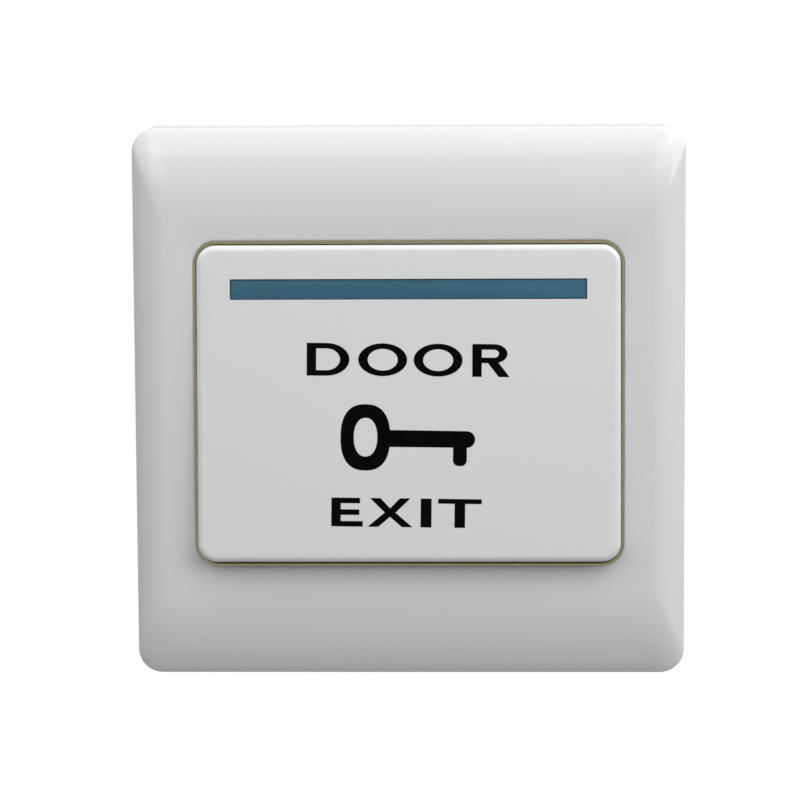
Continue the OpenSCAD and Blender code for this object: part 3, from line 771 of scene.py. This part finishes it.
def letter_e(w, h):
    low = (h - BAR) / 2
    arm = 0.89 * w
    teeth = [(w, 0), (w, BAR), (STEM, BAR), (STEM, low), (arm, low), (arm, low + BAR)]
    teeth += [(STEM, low + BAR), (STEM, h - BAR), (0.91 * w, h - BAR), (0.91 * w, h)]
    return [[(0, 0)] + teeth + [(0, h)]]


def letter_x(w, h):
    foot = 0.235 * w
    notch = 0.15 * h
    waist = 0.12 * w
    lean = 0.05 * w
    right = [(w - lean - foot, h), (w - lean, h), (w / 2 + waist, h / 2), (w, 0), (w - foot, 0)]
    left = [(foot, 0), (0, 0), (w / 2 - waist, h / 2), (lean, h), (lean + foot, h)]
    return [right + [(w / 2, h / 2 - notch)] + left + [(w / 2, h / 2 + notch)]]


def letter_i(w, h):
    return [[(0, 0), (w, 0), (w, h), (0, h)]]


def letter_t(w, h):
    stem = 1.65
    bar = 0.76
    x = (w - stem) / 2
    right = [(x + stem, 0), (x + stem, h - bar), (w, h - bar), (w, h)]
    return [[(x, 0)] + right + [(0, h), (0, h - bar), (x, h - bar)]]


def key_sign():
    """A key lying on its side: an upright rounded bow, a round-ended shaft and one bit."""
    bow_x, bow_z, bow_rx, bow_rz = -6.75, -5.17, 3.86, 5.17
    top, bottom, end = -3.98, -6.58, 10.32
    bit_left, bit_right, bit_low = 6.9, 9.05, -9.45
    round_end = (top - bottom) / 2
    soft = 0.9
    upper = math.degrees(math.asin((top - bow_z) / bow_rz))
    lower = math.degrees(math.asin((bottom - bow_z) / bow_rz))
    bow = arc(bow_x, bow_z, bow_rx, bow_rz, upper, 360 + lower, 48)
    outer = fuller(bow, bow_x, bow_z, bow_rx, bow_rz, 2.45)
    outer += [(bit_left, bottom)] + arc(bit_left + soft, bit_low + soft, soft, soft, 180, 270, 6)
    outer += arc(bit_right - soft, bit_low + soft, soft, soft, 270, 360, 6) + [(bit_right, bottom)]
    outer += arc(end - round_end, bottom + round_end, round_end, round_end, -90, 90, 12)
    hole_x, hole_z, hole_rx, hole_rz = -6.72, -5.14, 1.83, 3.02
    hole = oval(hole_x, hole_z, hole_rx, hole_rz)
    return [outer, fuller(hole, hole_x, hole_z, hole_rx, hole_rz, 2.2)]


def word(letters, height, z):
    """Outlines of a word. Each letter comes with its left edge and its width."""
    loops = []
    for outline, x, width in letters:
        for loop in outline(width, height):
            loops.append([(x + px, z + pz) for px, pz in loop])
    return loops


def printed(name, loops, turn, pin):
    """A film of ink on the cap's face, with these outlines and their holes, turned about the pin."""
    lines = bpy.data.curves.new(name, "CURVE")
    lines.dimensions = "2D"
    lines.fill_mode = "BOTH"
    lines.extrude = INK / 2 * MM
    for loop in loops:
        line = lines.splines.new("POLY")
        line.points.add(len(loop) - 1)
        line.use_cyclic_u = True
        for point, (x, z) in zip(line.points, loop):
            point.co = (x * MM, z * MM, 0, 1)
    drawn = bpy.data.objects.new(name, lines)
    bpy.context.scene.collection.objects.link(drawn)
    bpy.context.view_layer.update()
    mesh = bpy.data.meshes.new_from_object(drawn.evaluated_get(bpy.context.evaluated_depsgraph_get()))
    bpy.data.objects.remove(drawn)
    piece = bpy.data.objects.new(name, mesh)
    bpy.context.scene.collection.objects.link(piece)
    centre = Vector((pin[0], 0, pin[1])) * MM
    spin = Matrix.Rotation(math.radians(turn), 4, "Y")
    askew = Matrix.Translation(centre) @ spin @ Matrix.Translation(-centre)
    upright = Matrix.Rotation(math.radians(90), 4, "X")
    mesh.transform(to_rocker @ Matrix.Translation((0, FACE * MM, 0)) @ askew @ upright)
    return piece


ink, ink_nodes, ink_links, ink_body = shader("black ink")
ink_cover = noise(ink_nodes, ink_links, 700, 2)
ink_links.new(tinted(ink_nodes, ink_links, ink_cover, srgb(6, 6, 9), 0.3), ink_body.inputs["Base Color"])
ink_links.new(spread(ink_nodes, ink_links, ink_cover, 0.38, 0.5), ink_body.inputs["Roughness"])
ink_links.new(relief(ink_nodes, ink_links, ink_cover, 0.0008), ink_body.inputs["Normal"])
ink_body.inputs["Specular IOR Level"].default_value = 0.02

upper_word = [(letter_d, -15.8, 6.65), (letter_o, -7.8, 7.6), (letter_o, 0.8, 7.6), (letter_r, 9.9, 5.8)]
lower_word = [(letter_e, -12.1, 4.9), (letter_x, -6.45, 7.0), (letter_i, 1.8, 1.7), (letter_t, 4.5, 6.8)]
fit(printed("legend_above", word(upper_word, 5.1, 4.32), 0.57, (0, 6.9)), ink, "rocker")
fit(printed("legend_key", key_sign(), 0.9, (-6.8, -5.2)), ink, "rocker")
fit(printed("legend_below", word(lower_word, 4.5, -19.2), 0.77, (-0.5, -17)), ink, "rocker")


# Floor and light
# A pale floor well below the part fades out into a white room. Large soft lamps stand to the left, to the
# right and above the front of the part, two small ones give its upper corners their sheen, and one lights
# its rear.
FLOOR_Z = -375
FLOOR_R = 600
FLOOR_SIDES = 60
FADE_FROM = 300
FADE_TO = 620
floor_turns = [2 * math.pi * k / FLOOR_SIDES for k in range(FLOOR_SIDES)]
floor_points = [(FLOOR_R * math.cos(a), FLOOR_R * math.sin(a), FLOOR_Z) for a in floor_turns]
floor = mesh_of("floor", floor_points, [tuple(range(FLOOR_SIDES))])
floor_paint = moulded("floor paint", srgb(232, 232, 231), 0.7, 0.01)
floor_nodes = floor_paint.node_tree.nodes
floor_links = floor_paint.node_tree.links
from_middle = floor_nodes.new("ShaderNodeVectorMath")
from_middle.operation = "LENGTH"
fade = floor_nodes.new("ShaderNodeMapRange")
fade.interpolation_type = "SMOOTHSTEP"
fade.inputs["From Min"].default_value = FADE_FROM * MM
fade.inputs["From Max"].default_value = FADE_TO * MM
air = floor_nodes.new("ShaderNodeBsdfTransparent")
blend = floor_nodes.new("ShaderNodeMixShader")
place = floor_nodes.new("ShaderNodeTexCoord")
floor_links.new(place.outputs["Object"], from_middle.inputs[0])
floor_links.new(from_middle.outputs["Value"], fade.inputs["Value"])
floor_links.new(fade.outputs["Result"], blend.inputs["Fac"])
floor_links.new(floor_nodes["Principled BSDF"].outputs["BSDF"], blend.inputs[1])
floor_links.new(air.outputs["BSDF"], blend.inputs[2])
floor_links.new(blend.outputs["Shader"], floor_nodes["Material Output"].inputs["Surface"])
floor.data.materials.append(floor_paint)


def lamp(name, azimuth, elevation, distance, size, power):
    """Square soft lamp aimed at the part, from an angle to the right of its front and one above it."""
    a = math.radians(azimuth)
    e = math.radians(elevation)
    place = distance * Vector((math.sin(a) * math.cos(e), -math.cos(a) * math.cos(e), math.sin(e)))
    light = bpy.data.lights.new(name, "AREA")
    light.shape = "SQUARE"
    light.size = size
    light.energy = power
    holder = bpy.data.objects.new(name, light)
    holder.location = place
    holder.rotation_euler = place.to_track_quat("Z", "Y").to_euler()
    bpy.context.scene.collection.objects.link(holder)


lamp("left lamp", -65, 36, 1, 0.9, 4.2)
lamp("right lamp", 65, 34, 1, 1.1, 11.2)
lamp("upper lamp", 0, 58, 1, 1.1, 6.4)
lamp("front left lamp", -24, 24, 1, 0.36, 0.8)
lamp("front right lamp", 22, 26, 1, 0.34, 0.6)
lamp("rear lamp", 150, 35, 1, 0.6, 7.5)

room = bpy.data.worlds.new("white room")
bpy.context.scene.world = room
room.use_nodes = True
room_nodes = room.node_tree.nodes
room_links = room.node_tree.links
room_nodes.clear()
seen = room_nodes.new("ShaderNodeBackground")
seen.inputs["Color"].default_value = (1, 1, 1, 1)
MIRRORED_LOSS = 0.32
dimmer = room_nodes.new("ShaderNodeMath")
dimmer.operation = "MULTIPLY_ADD"
dimmer.inputs[1].default_value = -MIRRORED_LOSS
dimmer.inputs[2].default_value = 1
ambient = room_nodes.new("ShaderNodeBackground")
ambient.inputs["Color"].default_value = (0.97, 0.985, 1, 1)
ambient.inputs["Strength"].default_value = 0.02
ray = room_nodes.new("ShaderNodeLightPath")
camera_or_gloss = room_nodes.new("ShaderNodeMath")
camera_or_gloss.operation = "ADD"
any_direct = room_nodes.new("ShaderNodeMath")
any_direct.operation = "ADD"
any_direct.use_clamp = True
choice = room_nodes.new("ShaderNodeMixShader")
output = room_nodes.new("ShaderNodeOutputWorld")
room_links.new(ray.outputs["Is Glossy Ray"], dimmer.inputs[0])
room_links.new(dimmer.outputs["Value"], seen.inputs["Strength"])
room_links.new(ray.outputs["Is Camera Ray"], camera_or_gloss.inputs[0])
room_links.new(ray.outputs["Is Glossy Ray"], camera_or_gloss.inputs[1])
room_links.new(camera_or_gloss.outputs[0], any_direct.inputs[0])
room_links.new(ray.outputs["Is Transmission Ray"], any_direct.inputs[1])
room_links.new(any_direct.outputs[0], choice.inputs["Fac"])
room_links.new(ambient.outputs[0], choice.inputs[1])
room_links.new(seen.outputs[0], choice.inputs[2])
room_links.new(choice.outputs[0], output.inputs["Surface"])


# Camera
# It stands more than half a metre off, a little above and to the right of the plate's middle, and is
# turned by a third of a degree. Its lens is a long one.
DISTANCE = 0.58
AZIMUTH = math.radians(1.74)
ELEVATION = math.radians(7.39)
ROLL = math.radians(-0.33)
AIM = Vector((-1.516, -5.0, 0.17)) * MM
out = math.cos(ELEVATION)
back = Vector((math.sin(AZIMUTH) * out, -math.cos(AZIMUTH) * out, math.sin(ELEVATION)))
level = Vector((0, 0, 1)).cross(back).normalized()
upright = back.cross(level)
right = math.cos(ROLL) * level + math.sin(ROLL) * upright
up = math.cos(ROLL) * upright - math.sin(ROLL) * level
lens = bpy.data.cameras.new("camera")
lens.sensor_width = 36
lens.lens = 166.45
lens.clip_start = 0.01
camera = bpy.data.objects.new("camera", lens)
turned = Matrix((right, up, back)).transposed().to_4x4()
camera.matrix_world = Matrix.Translation(AIM + DISTANCE * back) @ turned
bpy.context.scene.collection.objects.link(camera)
bpy.context.scene.camera = camera
bpy.context.scene.view_settings.view_transform = "Standard"

bpy.context.view_layer.update()
